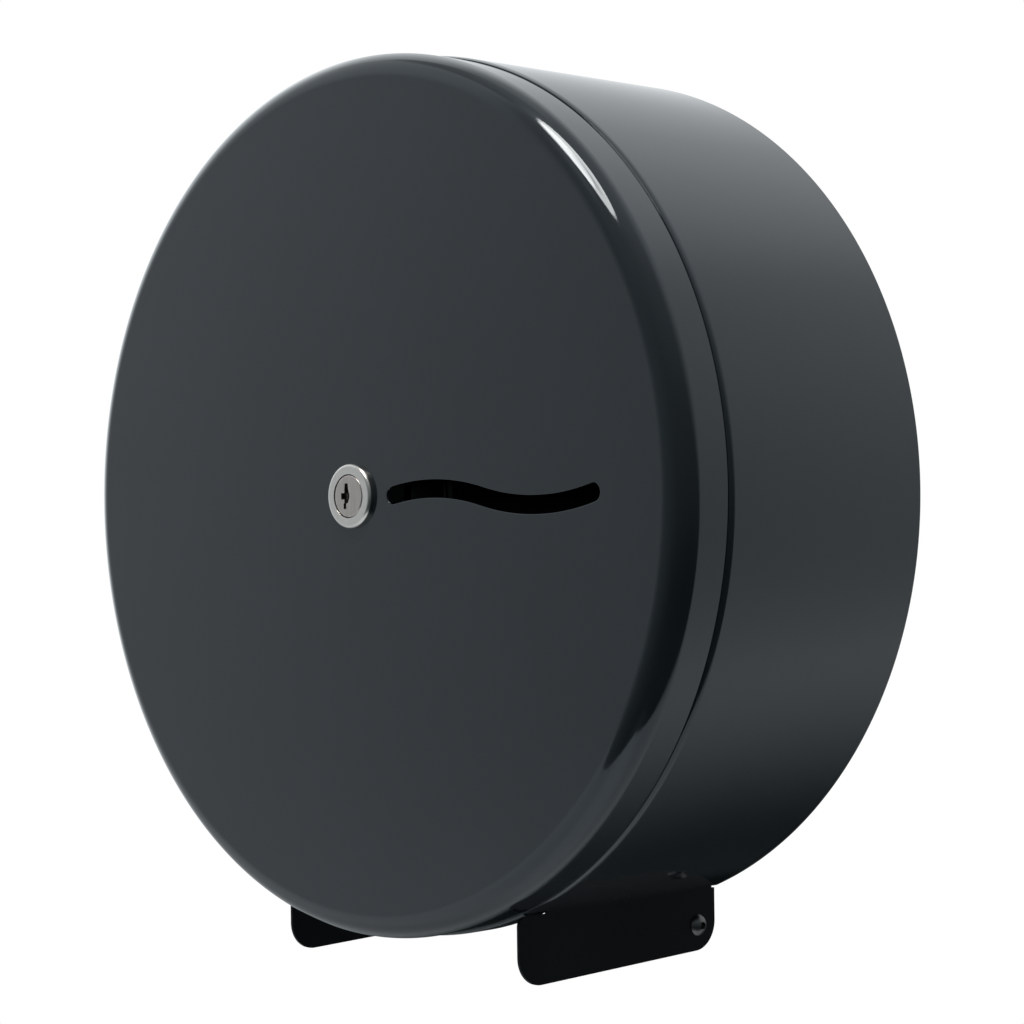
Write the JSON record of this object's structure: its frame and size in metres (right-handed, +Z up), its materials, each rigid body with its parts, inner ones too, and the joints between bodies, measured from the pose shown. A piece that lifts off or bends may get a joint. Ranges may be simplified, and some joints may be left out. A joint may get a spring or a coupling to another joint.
{
  "type": "toilet roll dispenser",
  "caption": "Wall-mounted round dispenser for a jumbo toilet roll: a lockable steel drum cover that swings down on its tear plates from a back plate with a roll spindle.",
  "frame": {"origin": "centre of the four wall screw holes on the wall plane, which is also on the spindle's and the lock's axis", "axes": "+Y into the wall, -Y out of the wall towards the user, +Z up, +X to the right as seen from the front"},
  "size_m": [0.3016, 0.1186, 0.3134],
  "materials": {
    "paint_graphite": "satin gloss powder coat, graphite grey",
    "paint_dark": "satin gloss powder coat, graphite grey",
    "zinc_steel": "zinc plated",
    "black_steel": "black oxide",
    "nickel": "satin nickel plate",
    "zinc_plug": "satin zinc die casting",
    "black_nylon": "moulded nylon",
    "hub_plastic": "moulded polypropylene, black"
  },
  "bodies": {
    "wall_unit": {"back_plate": "paint_dark", "spindle_post": "paint_dark", "spindle_rivets": "paint_dark", "striker_cap": "paint_dark", "hinge_screws": "black_steel", "hinge_washers": "zinc_steel", "hinge_nuts": "zinc_steel"},
    "cover": {"front_lid": "paint_graphite", "drum_shell": "paint_graphite", "tear_plate_left": "paint_dark", "tear_plate_right": "paint_dark", "hinge_bushes": "black_nylon", "lock_barrel": "nickel", "lock_nut": "zinc_steel"},
    "lock": {"lock_plug": "zinc_plug", "lock_wafers": "nickel", "lock_cam": "zinc_steel", "cam_washer": "zinc_steel", "cam_screw": "zinc_steel"},
    "hub": {"roll_hub": "hub_plastic"}
  },
  "joints": [
    {"name": "cover_swing", "type": "hinge", "parent": "wall_unit", "child": "cover", "pos_m": [0, -0.0097, -0.1518], "axis": [1, 0, 0], "range_deg": [0, 88]},
    {"name": "lock_turn", "type": "hinge", "parent": "cover", "child": "lock", "pos_m": [0, -0.1165, 0], "axis": [0, 1, 0], "range_deg": [0, 90]},
    {"name": "hub_spin", "type": "hinge", "parent": "wall_unit", "child": "hub", "pos_m": [0, -0.05, 0], "axis": [0, 1, 0], "continuous": true}
  ]
}
